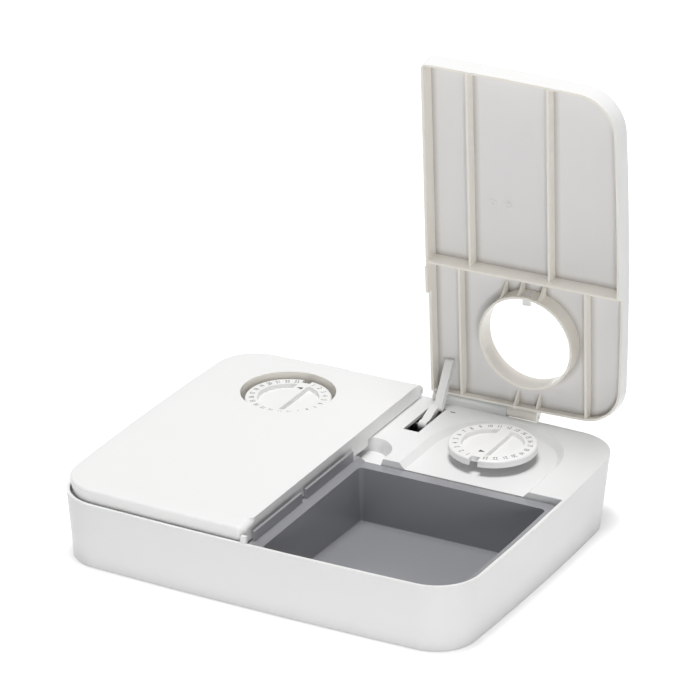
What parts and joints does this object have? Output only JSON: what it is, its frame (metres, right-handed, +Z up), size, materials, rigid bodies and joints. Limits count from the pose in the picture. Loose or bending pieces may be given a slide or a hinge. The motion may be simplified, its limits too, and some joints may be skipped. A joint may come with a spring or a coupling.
{
  "type": "timed two-meal pet feeder",
  "caption": "Low pet feeder with a two-bowl tray, two rear-hinged lids that each close round a timer dial, and sprung arms that lift the lids.",
  "frame": {"origin": "middle of the underside, on the surface the feeder stands on", "axes": "+X to the right, +Y to the rear edge with the hinges, +Z up"},
  "size_m": [0.306, 0.2623, 0.3106],
  "materials": {
    "housing_plastic": "satin",
    "lid_plastic": "satin",
    "bowl_plastic": "satin",
    "timer_plastic": "matte",
    "foot_rubber": "matte",
    "screw_steel": "bright",
    "contact_steel": "bright",
    "cell_jacket": "gloss",
    "lead_insulation": "satin"
  },
  "bodies": {
    "base": {"housing": "housing_plastic", "bottom_plate": "housing_plastic", "rubber_feet": "foot_rubber", "bottom_screws": "screw_steel", "battery_cell": "cell_jacket", "battery_contacts": "contact_steel", "twin_bowl_tray": "bowl_plastic", "left_timer_case": "timer_plastic", "right_timer_case": "timer_plastic", "timer_screws": "screw_steel", "timer_leads": "lead_insulation", "left_hinge_pin": "screw_steel", "right_hinge_pin": "screw_steel", "left_arm_pin": "screw_steel", "right_arm_pin": "screw_steel", "left_arm_spring": "screw_steel", "right_arm_spring": "screw_steel"},
    "left_lid_body": {"left_lid": "lid_plastic", "left_lid_catch": "lid_plastic"},
    "right_lid_body": {"right_lid": "lid_plastic", "right_lid_catch": "lid_plastic"},
    "left_dial_body": {"left_dial": "lid_plastic", "left_dial_spindle": "timer_plastic"},
    "right_dial_body": {"right_dial": "lid_plastic", "right_dial_spindle": "timer_plastic"},
    "left_arm_body": {"left_lift_arm": "lid_plastic"},
    "right_arm_body": {"right_lift_arm": "lid_plastic"},
    "battery_cover_body": {"battery_cover": "housing_plastic"}
  },
  "joints": [
    {"name": "left_lid_hinge", "type": "hinge", "parent": "base", "child": "left_lid_body", "pos_m": [0, 0.128, 0.058], "axis": [-1, 0, 0], "range_deg": [0, 86]},
    {"name": "right_lid_hinge", "type": "hinge", "parent": "base", "child": "right_lid_body", "pos_m": [0, 0.128, 0.058], "axis": [-1, 0, 0], "range_deg": [-86, 0], "stiffness_Nm_per_rad": 0.09, "springref_deg": 17.19},
    {"name": "left_arm_pivot", "type": "hinge", "parent": "base", "child": "left_arm_body", "pos_m": [-0.0155, 0.095, 0.049], "axis": [-1, 0, 0], "range_deg": [0, 123.84]},
    {"name": "right_arm_pivot", "type": "hinge", "parent": "base", "child": "right_arm_body", "pos_m": [0.0155, 0.095, 0.049], "axis": [-1, 0, 0], "range_deg": [-123.84, 0]},
    {"name": "left_dial_turn", "type": "hinge", "parent": "base", "child": "left_dial_body", "pos_m": [-0.0785, 0.06961, 0.05819], "axis": [0, -0.0314, 0.9995], "continuous": true},
    {"name": "right_dial_turn", "type": "hinge", "parent": "base", "child": "right_dial_body", "pos_m": [0.0785, 0.06961, 0.05819], "axis": [0, -0.0314, 0.9995], "continuous": true},
    {"name": "battery_cover_slide", "type": "slide", "parent": "base", "child": "battery_cover_body", "axis": [0, 1, 0], "range_m": [0, 0.025]}
  ],
  "couplings": [
    {"joint": "left_arm_pivot", "follows": "left_lid_hinge", "ratio": 1.44},
    {"joint": "right_arm_pivot", "follows": "right_lid_hinge", "ratio": 1.44}
  ]
}
